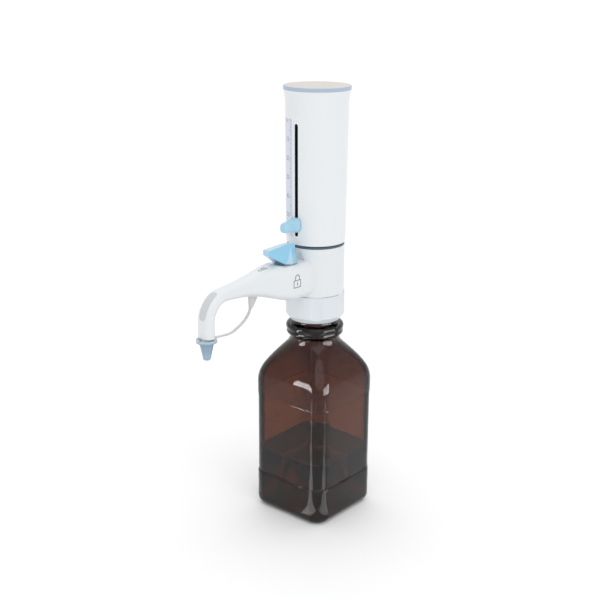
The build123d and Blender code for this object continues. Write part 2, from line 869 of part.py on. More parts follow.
# ---------------------------------------------------------------- volume selector
def make_selector():
    """A rounded, ribbed thumb piece on a saddle that straddles the slot, with a stem through it."""
    face = sleeve_radius(selector_height) + body_gap
    side = [
        (face - 2, selector_height - selector_half_height + 0.6),
        (face + selector_saddle, selector_height - selector_half_height),
        (selector_reach - 3.6, selector_height - 4.2),
        (selector_reach, selector_height - 0.8),
        (selector_reach, selector_height + 2.4),
        (selector_reach - 2.4, selector_height + 4.9),
        (face + 9.0, selector_height + selector_half_height + 0.8),
        (face - 2, selector_height + selector_half_height),
    ]
    nose = side_outline(side, selector_half_width - selector_rib_depth)
    flanks = nose.faces().filter_by(Axis.X)
    nose = fillet(flanks.edges().filter_by(lambda e: e.center().Y < -face - 1), selector_edge)
    saddle_plane = Plane(origin=(0, -face + 2, selector_height), x_dir=(1, 0, 0), z_dir=(0, -1, 0))
    saddle = extrude(
        saddle_plane * Ellipse(selector_half_width, selector_half_height + 0.5), selector_saddle + 2
    )
    shape = nose + saddle
    core = selector_half_width - 2 * selector_rib_depth
    for step in range(-2, 3):
        level = selector_height + selector_rib_pitch * step
        reach = (face + 1.6 * selector_saddle, selector_reach - 1.5 * selector_saddle)
        low, high = level - selector_rib_width / 2, level + selector_rib_width / 2
        shape -= front_box(2 * selector_half_width, *reach, low, high) - front_box(core, *reach, low, high)
    shape -= rod(face, selector_height - 2 * selector_half_height, selector_height + 2 * selector_half_height)
    stem_half = selector_half_height - 1
    stem = front_box(
        slot_width / 2 - body_gap,
        clamp_reach,
        face + selector_saddle / 2,
        selector_height - stem_half,
        selector_height + stem_half,
    )
    return shape + stem


clamp_reach = sleeve_radius(selector_height) - sleeve_wall - 2 * body_gap
parts["volume_selector"] = make_selector()
parts["selector_clamp"] = front_box(
    selector_clamp_half_width,
    clamp_reach - selector_clamp_thick,
    clamp_reach,
    selector_height - selector_clamp_height / 2,
    selector_height + selector_clamp_height / 2,
)


# ---------------------------------------------------------------- filling and recirculation tubes
parts["filling_tube_upper"] = tube(
    fill_tube_radius, fill_tube_bore, seat_bottom - fill_tube_length, seat_bottom
)
parts["filling_tube_lower"] = tube(
    fill_tube_bore - running_gap, dip_tube_bore, dip_tube_end, dip_tube_end + dip_tube_length
)
line = tube(
    recirculation_radius, recirculation_radius - recirculation_wall, recirculation_end, head_bottom
)
parts["recirculation_tube"] = Pos(0, recirculation_offset, 0) * line

for name, shape in parts.items():
    export_step(shape, f"parts/{name}.step")
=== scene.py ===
# %% [markdown]
# # A dispenser screwed on a reagent bottle
# The CAD frame holds every solid piece at its real size and place, in metres, with +Z up and the
# discharge arm along -Y. This lesson dresses that frame. It draws the prints and the flexible strap,
# mixes a finish for every moulding, and sets the studio and the camera.

# %% Load the frame
import json
import math

import bmesh
import bpy
from mathutils import Matrix, Vector
from mathutils.bvhtree import BVHTree

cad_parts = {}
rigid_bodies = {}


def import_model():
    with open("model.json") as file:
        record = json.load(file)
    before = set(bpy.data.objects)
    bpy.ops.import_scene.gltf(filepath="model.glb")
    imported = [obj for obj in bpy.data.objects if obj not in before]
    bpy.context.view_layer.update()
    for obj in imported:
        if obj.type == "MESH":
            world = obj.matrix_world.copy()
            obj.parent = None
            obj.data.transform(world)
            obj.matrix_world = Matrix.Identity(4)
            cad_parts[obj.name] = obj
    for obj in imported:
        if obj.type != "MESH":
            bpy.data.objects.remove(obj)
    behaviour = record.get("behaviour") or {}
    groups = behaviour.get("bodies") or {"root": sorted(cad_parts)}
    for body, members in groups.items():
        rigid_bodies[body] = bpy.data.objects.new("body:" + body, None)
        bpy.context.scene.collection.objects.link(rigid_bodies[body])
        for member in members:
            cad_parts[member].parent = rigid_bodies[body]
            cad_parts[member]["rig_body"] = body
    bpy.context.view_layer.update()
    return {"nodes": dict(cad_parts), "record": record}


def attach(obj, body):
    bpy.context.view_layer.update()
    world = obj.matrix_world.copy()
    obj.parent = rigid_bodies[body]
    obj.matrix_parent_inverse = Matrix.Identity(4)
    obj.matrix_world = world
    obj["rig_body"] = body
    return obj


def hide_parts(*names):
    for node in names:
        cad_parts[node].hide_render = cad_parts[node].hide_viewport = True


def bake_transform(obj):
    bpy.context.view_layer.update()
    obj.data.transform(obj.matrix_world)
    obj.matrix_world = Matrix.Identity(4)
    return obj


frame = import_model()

nodes = frame["nodes"]
MM = 0.001

# %% [markdown]
# ## Camera
# A long lens about a metre away keeps the sleeve's sides nearly parallel. The camera is built from
# its three own axes rather than from angles, because that leaves no doubt about its small roll.

# %% Camera
FOCAL_PIXELS = 1071.84
FRAME_PIXELS = 600
SENSOR = 36.0
CAMERA_PLACE = (0.64937, -0.78495, 0.54069)
CAMERA_RIGHT = (0.759806, 0.650122, 0.005991)
CAMERA_FORWARD = (-0.618865, 0.726039, -0.299790)
camera_data = bpy.data.cameras.new("studio_camera")
camera_data.sensor_width = SENSOR
camera_data.lens = FOCAL_PIXELS / FRAME_PIXELS * SENSOR
camera_data.clip_start = 0.02
camera = bpy.data.objects.new("studio_camera", camera_data)
bpy.context.scene.collection.objects.link(camera)
right = Vector(CAMERA_RIGHT).normalized()
forward = Vector(CAMERA_FORWARD).normalized()
up = right.cross(forward)
turn = Matrix((right, up, -forward)).transposed().to_4x4()
camera.matrix_world = Matrix.Translation(CAMERA_PLACE) @ turn
bpy.context.scene.camera = camera
print("lens", round(camera_data.lens, 2), "mm")

# %% [markdown]
# ## Shader arithmetic
# A node tree is a formula drawn as boxes. One small class holds the output of a node and turns
# `+`, `-` and `*` into Math nodes, so that a pattern can be written as the formula it is. A second
# class holds the tree itself and makes every other kind of node through one method.


# %% Value: one output of a node, with arithmetic
class Value:
    def __init__(self, finish, socket):
        self.finish = finish
        self.socket = socket

    def math(self, operation, *others, clamp=False):
        settings = {"operation": operation, "use_clamp": clamp}
        return self.finish.node("ShaderNodeMath", settings, dict(enumerate((self, *others))))

    def __add__(self, other):
        return self.math("ADD", other)

    def __radd__(self, other):
        return self.math("ADD", other)

    def __sub__(self, other):
        return self.math("SUBTRACT", other)

    def __rsub__(self, other):
        return (self * -1.0).math("ADD", other)

    def __mul__(self, other):
        return self.math("MULTIPLY", other)

    def __rmul__(self, other):
        return self.math("MULTIPLY", other)

    def between(self, low, high):
        """0 below low, 1 above high, and a smooth step between."""
        settings = {"interpolation_type": "SMOOTHSTEP"}
        inputs = {"Value": self, "From Min": low, "From Max": high}
        return self.finish.node("ShaderNodeMapRange", settings, inputs)

    def clamped(self):
        return self.math("MULTIPLY", 1.0, clamp=True)


# %% Finish: one material and its node tree
class Finish:
    def __init__(self, name, display):
        self.material = bpy.data.materials.new(name)
        self.material.use_nodes = True
        self.material.diffuse_color = (*display, 1.0)
        self.tree = self.material.node_tree
        self.shader = self.tree.nodes["Principled BSDF"]
        self.place = self.node("ShaderNodeTexCoord", {}, {}, "Object")

    def node(self, kind, settings, inputs, output=0):
        made = self.tree.nodes.new(kind)
        for key, setting in settings.items():
            setattr(made, key, setting)
        for key, value in inputs.items():
            if isinstance(value, Value):
                self.tree.links.new(value.socket, made.inputs[key])
            else:
                made.inputs[key].default_value = value
        return Value(self, made.outputs[output])

    def feed(self, socket, value):
        if isinstance(value, Value):
            self.tree.links.new(value.socket, self.shader.inputs[socket])
        else:
            self.shader.inputs[socket].default_value = value

    def present(self, socket):
        """What already feeds a socket of the shader, so that a later cell can build on it."""
        return Value(self, self.shader.inputs[socket].links[0].from_socket)

    def axis(self, name):
        return self.node("ShaderNodeSeparateXYZ", {}, {0: self.place}, name)

    def noise(self, scale, detail=3.0, roughness=0.5, stretch=(1.0, 1.0, 1.0)):
        """A cloud pattern: scale counts the lumps in a metre, stretch squeezes it along each axis."""
        moved = self.node(
            "ShaderNodeVectorMath", {"operation": "MULTIPLY"}, {0: self.place, 1: stretch}
        )
        inputs = {"Vector": moved, "Scale": scale, "Detail": detail, "Roughness": roughness}
        return self.node("ShaderNodeTexNoise", {}, inputs)

    def mix(self, factor, low, high):
        """A colour between low and high."""
        inputs = {0: factor, 6: colour4(low), 7: colour4(high)}
        return self.node("ShaderNodeMix", {"data_type": "RGBA"}, inputs, 2)

    def bump(self, height, distance, strength=1.0):
        inputs = {"Height": height, "Distance": distance, "Strength": strength}
        return self.node("ShaderNodeBump", {}, inputs)


def colour4(value):
    return value if isinstance(value, Value) else (*value, 1.0)


def shade(colour, factor):
    """A darker or lighter colour of the same hue, worked out in Python."""
    return tuple(min(1.0, channel * factor) for channel in colour)


# %% [markdown]
# ## Moulded plastics
# Most pieces are injection mouldings. Their finish comes from a spark-eroded mould: a very fine
# grain in the surface, a gloss that drifts a little from place to place, and hairline scuffs
# from handling. One recipe with its own numbers for each piece keeps them alike, as a maker would.


# %% Recipe for a moulding
def moulding(name, colour, gloss, grain=1400.0, depth=0.00001, drift=0.03, scuff=0.06, coat=0.0):
    finish = Finish(name, colour)
    cloud = finish.noise(18.0, 2.0)
    grains = finish.noise(grain, 4.0, 0.6)
    scuffs = finish.noise(160.0, 5.0, 0.7, (1.0, 1.0, 0.12)).between(0.58, 0.76)
    tone = finish.mix(cloud, shade(colour, 1 - drift), shade(colour, 1 + drift))
    tone = finish.mix(scuffs * 0.25, tone, shade(colour, 0.93))
    finish.feed("Base Color", tone)
    finish.feed("Roughness", (gloss + (cloud - 0.5) * 0.08 + scuffs * scuff).clamped())
    finish.feed("Normal", finish.bump(grains + scuffs * 0.5, depth))
    finish.feed("Coat Weight", coat)
    finish.feed("Coat Roughness", 0.12)
    return finish


# %% Every moulding's own numbers
finishes = {
    "white_housing": moulding("white_housing", (0.74, 0.77, 0.79), 0.34),
    "white_sleeve": moulding("white_sleeve", (0.775, 0.80, 0.815), 0.32, depth=0.000006),
    "white_collar": moulding("white_collar", (0.70, 0.735, 0.775), 0.36, grain=1100.0),
    "grip_grey": moulding("grip_grey", (0.57, 0.60, 0.62), 0.62, grain=900.0, depth=0.00004),
    "light_blue": moulding("light_blue", (0.35, 0.615, 0.78), 0.26, depth=0.000008, coat=0.4),
    "ring_blue": moulding("ring_blue", (0.39, 0.49, 0.62), 0.38),
    "cap_grey": moulding("cap_grey", (0.64, 0.61, 0.575), 0.50, grain=900.0, depth=0.00002),
    "scale_lavender": moulding("scale_lavender", (0.66, 0.70, 0.79), 0.36, depth=0.000005),
    "inner_dark": moulding("inner_dark", (0.012, 0.016, 0.026), 0.45),
    "valve_white": moulding("valve_white", (0.80, 0.80, 0.77), 0.48, grain=800.0),
    "valve_ball": moulding("valve_ball", (0.82, 0.80, 0.73), 0.16, depth=0.000002),
    "piston_white": moulding("piston_white", (0.82, 0.82, 0.80), 0.25, depth=0.000004),
}
print("mouldings", len(finishes))

# %% [markdown]
# The slot in the sleeve reads as one dark line, because its flanks and everything behind them lie in
# shade. That shade is painted into the sleeve's finish below its own surface: the distance from the
# axis is compared with the outer radius, which grows a little with height, as the mould's draft makes
# it.

# %% The sleeve's painted slot shade
SLEEVE_FOOT_RADIUS, SLEEVE_FOOT, DRAFT = 0.02895, 0.2822, 0.01043
PAINTED_SLOT_SHADE = (0.020, 0.026, 0.040)
sleeve = finishes["white_sleeve"]
across, along, height = (sleeve.axis(name) for name in ("X", "Y", "Z"))
from_axis = (across * across + along * along).math("SQRT")
outer = SLEEVE_FOOT_RADIUS + (height - SLEEVE_FOOT) * DRAFT
depth = (outer - from_axis) * 1000.0
# Painted shade: below its outer surface, on the slot's flanks and in the bore, the sleeve's colour
# turns dark.
tone = sleeve.mix(depth.between(0.15, 0.4), sleeve.present("Base Color"), PAINTED_SLOT_SHADE)
sleeve.feed("Base Color", tone)
print("sleeve radius at its foot", round(SLEEVE_FOOT_RADIUS * 1000, 2), "mm")

# %% [markdown]
# ## Flexible and clear plastics
# The strap and the ring are thin polypropylene that lets light through, and so does the cap. Their
# shaders pass part of the light, which is a constant on the shader, while the grain still varies.


# %% Recipe for a milky plastic
def milky(name, colour, gloss, passing, scatter=0.0):
    finish = moulding(name, colour, gloss, grain=700.0, depth=0.00003, drift=0.05)
    finish.feed("Transmission Weight", passing)
    finish.feed("Subsurface Weight", scatter)
    finish.feed("Subsurface Scale", 0.002)
    finish.feed("IOR", 1.49)
    return finish


finishes["strap_grey"] = milky("strap_grey", (0.66, 0.68, 0.68), 0.42, 0.15, 0.2)
finishes["cap_ring_blue"] = milky("cap_ring_blue", (0.51, 0.64, 0.71), 0.38, 0.15, 0.2)
finishes["cap_blue"] = milky("cap_blue", (0.375, 0.52, 0.65), 0.30, 0.25, 0.1)
finishes["tube_clear"] = milky("tube_clear", (0.97, 0.98, 0.98), 0.05, 1.0)
finishes["tube_clear"].feed("IOR", 1.34)

# %% [markdown]
# The lever's blue carries painted light: it is mixed towards a pale blue on its top, on its blunt tip
# and on one facet of its flank, where light falls straight into it. The facet is a triangle between
# two lines that run down from its apex. Normals and places are the piece's own, so the painted light
# turns with the lever.

# %% The lever's blue with painted light
FACET_APEX = (42.5, 283.9)
FACET_BACK, FACET_FRONT = 0.24, 0.86
lever_blue = moulding("lever_blue", (0.27, 0.57, 0.78), 0.24, depth=0.000008, coat=0.4)
facing = lever_blue.node("ShaderNodeTexCoord", {}, {}, "Normal")
upward = lever_blue.node("ShaderNodeSeparateXYZ", {}, {0: facing}, "Z")
forward_facing = lever_blue.node("ShaderNodeSeparateXYZ", {}, {0: facing}, "Y") * -1.0
reach = lever_blue.axis("Y") * -1000.0
below = FACET_APEX[1] - lever_blue.axis("Z") * 1000.0
facet = (reach - (FACET_APEX[0] + below * FACET_BACK)).between(-0.2, 0.2)
facet = facet * (FACET_APEX[0] + below * FACET_FRONT - reach).between(-0.2, 0.2)
# Painted light: the facet, the top and the blunt tip are mixed towards a pale blue.
painted_light = facet * 0.42 + upward.between(0.6, 1.0) * 0.6 + forward_facing.between(0.7, 1.0) * 0.35
tone = lever_blue.mix(painted_light.clamped(), lever_blue.present("Base Color"), (0.66, 0.78, 0.85))
lever_blue.feed("Base Color", tone)
finishes["lever_blue"] = lever_blue
print("finishes so far", len(finishes))

# %% [markdown]
# ## Elastomer and steel
# The gap under the sleeve shows a slate blue elastomer ring: matt, with a fine skin. The nut inside is
# turned steel, whose cutting marks run round it, so its grain is stretched along two axes.

# %% Elastomer and steel
seal = Finish("seal_blue", (0.08, 0.12, 0.17))
skin = seal.noise(1500.0, 5.0, 0.65)
seal.feed("Base Color", seal.mix(skin, (0.055, 0.090, 0.125), (0.100, 0.155, 0.210)))
seal.feed("Roughness", 0.55 + skin * 0.15)
seal.feed("Normal", seal.bump(skin, 0.00003))
finishes["seal_blue"] = seal

steel = Finish("steel", (0.6, 0.6, 0.6))
marks = steel.noise(900.0, 4.0, 0.6, (1.0, 1.0, 0.06))
steel.feed("Base Color", steel.mix(marks, (0.50, 0.51, 0.52), (0.66, 0.67, 0.68)))
steel.feed("Metallic", 1.0)
steel.feed("Roughness", 0.24 + marks * 0.16)
steel.feed("Normal", steel.bump(marks, 0.00001))
finishes["steel"] = steel

# %% [markdown]
# ## Glass
# Brown glass is coloured in the melt, so a thick place is darker than a thin one. The surface passes
# nearly everything, and an absorbing volume behind it takes away light with every millimetre of the
# way. That blackens the finish rings and the base, and leaves the flat walls clear brown. A moulded
# bottle is never flat: its walls carry long shallow waves that bend the highlights.


# %% Brown and clear glass
def glass(name, display, thin, thick, waves, gloss, bend=1.5):
    finish = Finish(name, display)
    wave = finish.noise(14.0, 1.5, 0.4, (1.0, 1.0, 0.35))
    ripple = finish.noise(90.0, 2.0, 0.5)
    finish.feed("Base Color", finish.mix(wave, thin, thick))
    finish.feed("Roughness", gloss + finish.noise(220.0, 4.0).between(0.6, 0.8) * 0.04)
    finish.feed("Transmission Weight", 1.0)
    finish.feed("IOR", bend)
    finish.feed("Normal", finish.bump(wave + ripple * 0.04, waves))
    return finish


def absorbing(finish, passed, density):
    """Fills the finish with a volume that takes light away. Density is counted in a metre."""
    inputs = {"Color": (*passed, 1.0), "Density": density}
    volume = finish.node("ShaderNodeVolumeAbsorption", {}, inputs)
    output = finish.tree.nodes["Material Output"]
    finish.tree.links.new(volume.socket, output.inputs["Volume"])


finishes["amber_glass"] = glass(
    "amber_glass", (0.20, 0.105, 0.07), (0.97, 0.95, 0.93), (0.93, 0.90, 0.87), 0.0002, 0.0, 1.42
)
absorbing(finishes["amber_glass"], (0.554, 0.272, 0.016), 980.0)
finishes["clear_glass"] = glass(
    "clear_glass", (0.9, 0.93, 0.95), (0.93, 0.96, 0.97), (0.90, 0.94, 0.96), 0.0001, 0.02
)
print("finishes", sorted(finishes))

# %% Put the finishes on the CAD nodes
node_slot = {row["node"]: row["material_slot"] for row in frame["record"]["subparts"]}
for name, piece in nodes.items():
    piece.data.materials.clear()
    piece.data.materials.append(finishes[node_slot[name]].material)
# The cap's ring is the strap's plastic with more blue in it.
nodes["cap_ring"].data.materials[0] = finishes["cap_ring_blue"].material
print("dressed", len(node_slot), "nodes")

# %% [markdown]
# ## Making pieces
# Every new piece is a mesh made in code. This helper links it, gives it its finish, and names the
# body that carries it, so that no piece is left behind when a joint moves.


# %% Helper: a piece from points and faces
def piece_from(name, points, faces, slot_name, body, smooth=True):
    """A closed mesh with its normals outward. Points are in metres."""
    mesh = bpy.data.meshes.new(name)
    mesh.from_pydata([tuple(point) for point in points], [], faces)
    mesh.validate()
    mesh.update()
    tidy = bmesh.new()
    tidy.from_mesh(mesh)
    bmesh.ops.recalc_face_normals(tidy, faces=tidy.faces)
    for face in tidy.faces:
        face.smooth = smooth
    tidy.to_mesh(mesh)
    tidy.free()
    return placed(bpy.data.objects.new(name, mesh), slot_name, body)


def placed(piece, slot_name, body):
    if piece.name not in bpy.context.scene.collection.objects:
        bpy.context.scene.collection.objects.link(piece)
    piece.data.materials.clear()
    piece.data.materials.append(finishes[slot_name].material)
    if body:
        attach(piece, body)
    print(piece.name, "faces", len(piece.data.polygons))
    return piece


# %% Helper: the walls between rings of points
def stacked(rings):
    """Points and faces of a closed shape whose rings all have as many points."""
    points = [point for ring in rings for point in ring]
    count = len(rings[0])
    faces = []
    for level in range(len(rings) - 1):
        for k in range(count):
            following = (k + 1) % count
            a, b = level * count, (level + 1) * count
            faces.append((a + k, a + following, b + following, b + k))
    faces += [tuple(reversed(range(count))), tuple(range(len(points) - count, len(points)))]
    return points, faces


# %% [markdown]
# ## Softened mouldings
# No moulding has a knife edge, because molten plastic and the mould's cutter both leave a small
# round. A copy of the solid, with its flat triangles joined again, takes a bevel along every crease.


# %% Helper: a copy of a solid with rounded creases
def softened(node, radius, crease=28.0, segments=3):
    mesh = bmesh.new()
    mesh.from_mesh(nodes[node].data)
    bmesh.ops.remove_doubles(mesh, verts=mesh.verts, dist=0.000002)
    bmesh.ops.dissolve_limit(
        mesh, angle_limit=math.radians(0.6), verts=mesh.verts, edges=mesh.edges
    )
    sharp = [
        edge
        for edge in mesh.edges
        if len(edge.link_faces) == 2 and edge.calc_face_angle(0.0) > math.radians(crease)
    ]
    bmesh.ops.bevel(
        mesh, geom=sharp, offset=radius, offset_type="OFFSET", segments=segments,
        profile=0.5, affect="EDGES", clamp_overlap=True,
    )
    for face in mesh.faces:
        face.smooth = True
    data = bpy.data.meshes.new(node + "_soft")
    mesh.to_mesh(data)
    mesh.free()
    copy = bpy.data.objects.new(node + "_soft", data)
    placed(copy, node_slot[node], nodes[node]["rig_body"])
    copy.modifiers.new("weighted", "WEIGHTED_NORMAL").keep_sharp = False
    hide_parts(node)
    return copy


softened("strap_clip", 0.4 * MM)

# %% [markdown]
# ## Valve lever
# The lever is a wedge of flat facets. A narrow blunt tip, a ridge that runs back over the spindle and
# a many-sided foot are a handful of points; their convex hull, the tightest skin around them, makes
# the facets. The creases are then rounded, and a thin disc under the foot carries the wedge.

# %% Valve lever
LEVER_AXIS, LEVER_LOW, LEVER_TOP = 44.5, 268.72, 287.2
LEVER_TIP, DISC_RADIUS, DISC_THICK = 72.5, 11.0, 0.9
# Each corner is its half width, its reach and its drop below the top. These three bound the facet.
APEX, FRONT_FOOT, SIDE_FOOT = (4.9, 42.5, 3.3), (8.3, 54.5, 17.2), (10.5, 46.0, 17.8)
lever_points = [
    (side * across, -reach, LEVER_TOP - drop)
    for across, reach, drop in (
        (3.7, LEVER_TIP, 1.3), (3.6, LEVER_TIP, 6.2), (3.0, 47.5, 0.0), (2.6, 34.2, 0.9),
        APEX, FRONT_FOOT, SIDE_FOOT,
    )
    for side in (-1, 1)
]
FOOT_RADIUS, FOOT_LEVEL = 10.2, LEVER_LOW + 0.6
lever_points += [
    (
        FOOT_RADIUS * math.sin(math.radians(turn)),
        -LEVER_AXIS - FOOT_RADIUS * math.cos(math.radians(turn)),
        FOOT_LEVEL,
    )
    for turn in (118, 150, 210, 242)
]


def hull_with_disc(points, radius, low, high):
    """The hull of the points with rounded creases, and a disc round the spindle."""
    mesh = bmesh.new()
    for point in points:
        mesh.verts.new(Vector(point) * MM)
    made = bmesh.ops.convex_hull(mesh, input=mesh.verts)
    bmesh.ops.delete(mesh, geom=made["geom_interior"] + made["geom_unused"], context="VERTS")
    bmesh.ops.dissolve_limit(mesh, angle_limit=0.02, verts=mesh.verts, edges=mesh.edges)
    sharp = [edge for edge in mesh.edges if edge.calc_face_angle(0.0) > math.radians(6)]
    bmesh.ops.bevel(
        mesh, geom=sharp, offset=0.35 * MM, offset_type="OFFSET", segments=2,
        profile=0.5, affect="EDGES", clamp_overlap=True,
    )
    place = Matrix.Translation((0, -LEVER_AXIS * MM, (low + high) / 2 * MM))
    bmesh.ops.create_cone(
        mesh, cap_ends=True, segments=64, radius1=radius * MM, radius2=radius * MM,
        depth=(high - low) * MM, matrix=place,
    )
    for face in mesh.faces:
        face.smooth = True
    data = bpy.data.meshes.new("valve_lever_wedge")
    mesh.to_mesh(data)
    mesh.free()
    return data


lever = placed(
    bpy.data.objects.new(
        "valve_lever_wedge",
        hull_with_disc(lever_points, DISC_RADIUS, LEVER_LOW, LEVER_LOW + DISC_THICK),
    ),
    "light_blue", "lever",
)
lever.modifiers.new("weighted", "WEIGHTED_NORMAL").keep_sharp = False
lever.data.materials[0] = finishes["lever_blue"].material
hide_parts("valve_lever")

# %% [markdown]
# ## Volume selector
# The thumb piece is a rounded nose that grows into an oval saddle on the sleeve. It is drawn as rings
# along its reach. Each ring is a superellipse, a curve between an ellipse and a rectangle, and shallow
# grooves run along both flanks for grip. Behind the saddle the rings shrink to the stem in the slot.

# %% Volume selector
SELECTOR_LEVEL, SELECTOR_FACE = 302.6, 29.5
STEM_END, STEM_HALF, STEM_TALL = 25.7, 1.7, 5.5
# Each row is a ring's reach, its half width, its half height and its lift, from nose to saddle.
selector_rings = [
    (49.15, 1.6, 2.0, -0.2), (49.0, 2.9, 3.3, -0.2), (48.5, 3.6, 4.1, -0.2), (47.7, 4.0, 4.6, -0.1),
    (46.5, 4.2, 4.9, 0.0), (45.0, 4.1, 4.9, 0.2), (43.0, 4.3, 5.2, 0.3), (41.0, 4.5, 5.5, 0.4),
    (39.0, 4.65, 5.8, 0.5), (37.0, 4.8, 6.1, 0.55), (35.5, 4.9, 6.3, 0.55), (34.2, 5.1, 6.6, 0.5),
    (33.2, 5.5, 7.0, 0.4), (32.2, 5.75, 7.2, 0.3), (30.9, 5.8, 7.25, 0.2),
    (SELECTOR_FACE, 5.75, 7.2, 0.2),
]
GROOVE_PITCH, GROOVE_DEPTH = 2.1, 0.6
GROOVE_BACK, GROOVE_FRONT, GROOVE_FADE = 34.0, 44.5, 1.2
HUG_START, HUG_LENGTH = 38.0, 6.0
FLANK_SHARE, FLANK_FADE = 0.78, 0.8


def ramp(value):
    return min(1.0, max(0.0, value))


def selector_ring(reach, half, tall, lift, power=2.7, steps=96):
    """One ring. Grip fades the grooves in and out, and hug bends the back round the sleeve."""
    ring = []
    grip = ramp((reach - GROOVE_BACK) / GROOVE_FADE) * ramp((GROOVE_FRONT - reach) / GROOVE_FADE)
    hug = ramp((HUG_START - reach) / HUG_LENGTH)
    for step in range(steps):
        turn = math.radians(360 * step / steps)
        cos, sin = math.cos(turn), math.sin(turn)
        across = half * math.copysign(abs(cos) ** (2 / power), cos)
        above = tall * math.copysign(abs(sin) ** (2 / power), sin)
        flank = ramp((FLANK_SHARE * tall - abs(above)) / FLANK_FADE)
        groove = (0.5 + 0.5 * math.cos(2 * math.pi * above / GROOVE_PITCH)) * flank * grip
        across -= math.copysign(GROOVE_DEPTH * groove, across)
        back = hug * (SELECTOR_FACE - math.sqrt(SELECTOR_FACE ** 2 - across ** 2))
        ring.append((across * MM, -(reach - back) * MM, (SELECTOR_LEVEL + lift + above) * MM))
    return ring


rings = [selector_ring(*row) for row in selector_rings]
rings += [
    selector_ring(reach, STEM_HALF, STEM_TALL, 0.2, power=8.0)
    for reach in (SELECTOR_FACE, STEM_END)
]
selector = piece_from("volume_selector_nose", *stacked(rings), "light_blue", "selector")
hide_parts("volume_selector")

# %% [markdown]
# ## Cap strap
# The strap is one flat band. It leaves the clip downwards, swings forward under the arm, and runs
# level into the cap's ring. A curve through six points gives its middle line, and a closed strip swept
# along it gives the band.

# %% Cap strap
STRAP_WIDTH = 3.2 * MM
STRAP_THICK = 1.2 * MM
# Each knot is a reach and a height in millimetres.
strap_knots = [
    (94.4, 235.2), (96.6, 230.2), (104.4, 223.5), (119.0, 217.6), (132.0, 217.6), (141.7, 218.7),
]


def smooth_line(knots, steps):
    """Points along a curve that passes through every knot."""
    padded = [knots[0], *knots, knots[-1]]
    line = []
    for a, b, c, d in zip(padded, padded[1:], padded[2:], padded[3:]):
        for step in range(steps):
            t = step / steps
            line.append(tuple(
                0.5 * (2 * q + (r - p) * t + (2 * p - 5 * q + 4 * r - s) * t * t
                       + (3 * q - p - 3 * r + s) * t ** 3)
                for p, q, r, s in zip(a, b, c, d)
            ))
    return [*line, knots[-1]]


def swept_band(line, width, thick, rim=0.3 * MM):
    """A rounded flat band swept along a line of (reach, height) points in millimetres."""
    profile = [
        (-width / 2, -thick / 2 + rim), (-width / 2 + rim, -thick / 2),
        (width / 2 - rim, -thick / 2), (width / 2, -thick / 2 + rim),
        (width / 2, thick / 2 - rim), (width / 2 - rim, thick / 2),
        (-width / 2 + rim, thick / 2), (-width / 2, thick / 2 - rim),
    ]
    points, faces = [], []
    count = len(profile)
    for index, (reach, height) in enumerate(line):
        before, after = line[max(index - 1, 0)], line[min(index + 1, len(line) - 1)]
        along = Vector((after[0] - before[0], after[1] - before[1])).normalized()
        for side, out in profile:
            points.append((side, -reach * MM + along.y * out, height * MM + along.x * out))
        if index:
            base = len(points) - 2 * count
            for corner in range(count):
                following = (corner + 1) % count
                faces.append((
                    base + corner, base + following, base + count + following, base + count + corner
                ))
    last = len(points) - count
    faces += [tuple(range(count)), tuple(range(len(points) - 1, last - 1, -1))]
    return points, faces


strap = piece_from(
    "cap_strap_band",
    *swept_band(smooth_line(strap_knots, 10), STRAP_WIDTH, STRAP_THICK),
    "strap_grey",
    None,
)
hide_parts("cap_strap")
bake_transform(strap)

# %% [markdown]
# ## Bottle
# A blown bottle follows its outside on the inside as well, so its neck is thin where a drilled solid
# is thick, and thin brown glass is lighter. The wall is drawn again here as rings: up the inside,
# over the mouth and down the outside. Each ring is a square with round corners, which grow along the
# shoulder until the ring is a circle. The inside has rounder corners than the outside, as blown glass
# has, so the upright corners are thick and dark.

# %% Helper: a square ring with round corners
def rounded_ring(half, corner, height, steps=16):
    ring = []
    for quarter in range(4):
        turn = math.radians(90 * quarter)
        for step in range(steps + 1):
            angle = turn + math.radians(90 * step / steps)
            cx = (half - corner) * (1 if quarter in (0, 3) else -1)
            cy = (half - corner) * (1 if quarter in (0, 1) else -1)
            ring.append((
                (cx + corner * math.cos(angle)) * MM, (cy + corner * math.sin(angle)) * MM, height * MM
            ))
    return ring


# %% Bottle glass
BODY_HALF, BODY_CORNER, WALL = 45.0, 15.0, 2.8
INSIDE_CORNER = 15.8
FLOOR_THICK, BASE_ROUND = 4.5, 9.0
SHOULDER_START, SHOULDER_RISE, NECK_RADIUS = 136.0, 48.5, 24.7
LABEL_LOW, LABEL_HIGH = 38.5, 123.5
# The shoulder's outline: its share of the height, and how far it is drawn in towards the neck.
drawn_in = [
    (0.0, 0.0), (0.13, 0.016), (0.27, 0.085), (0.40, 0.208), (0.55, 0.403),
    (0.70, 0.635), (0.83, 0.853), (0.91, 0.958), (1.0, 1.0),
]
# The neck and the finish rings: radius and height.
outside_neck = [
    (24.75, 185.2), (25.3, 186.2), (26.3, 187.2), (27.4, 188.2), (28.15, 189.2), (28.4, 190.3),
    (28.15, 191.5), (27.8, 192.3), (28.1, 193.1), (28.7, 194.4), (28.9, 195.8), (28.6, 197.2),
    (27.7, 198.5), (26.2, 199.2), (24.4, 199.4), (23.1, 199.8), (22.4, 200.8), (22.3, 202.5),
    (22.3, 222.5), (22.0, 223.3), (21.3, 223.85), (20.4, 224.0),
]
inside_neck = [
    (19.2, 223.8), (18.4, 223.2), (18.0, 222.0), (18.0, 204.0), (18.2, 200.0), (18.9, 196.0),
    (19.7, 191.0), (20.4, 187.0), (21.2, 184.0),
]


def shoulder_ring(climb, drawn, half, corner, neck, rise):
    """One ring of the shoulder, measured across the corners, where its outline is seen."""
    diagonal = math.sqrt(2)
    reach = (half - corner) * diagonal + corner
    width = reach - drawn * (reach - neck)
    start = corner / half
    roundness = start + (1.0 - start) * max(drawn, 0.0) ** 2
    half = width / (diagonal * (1 - roundness) + roundness)
    return rounded_ring(half, half * roundness, SHOULDER_START + climb * rise)


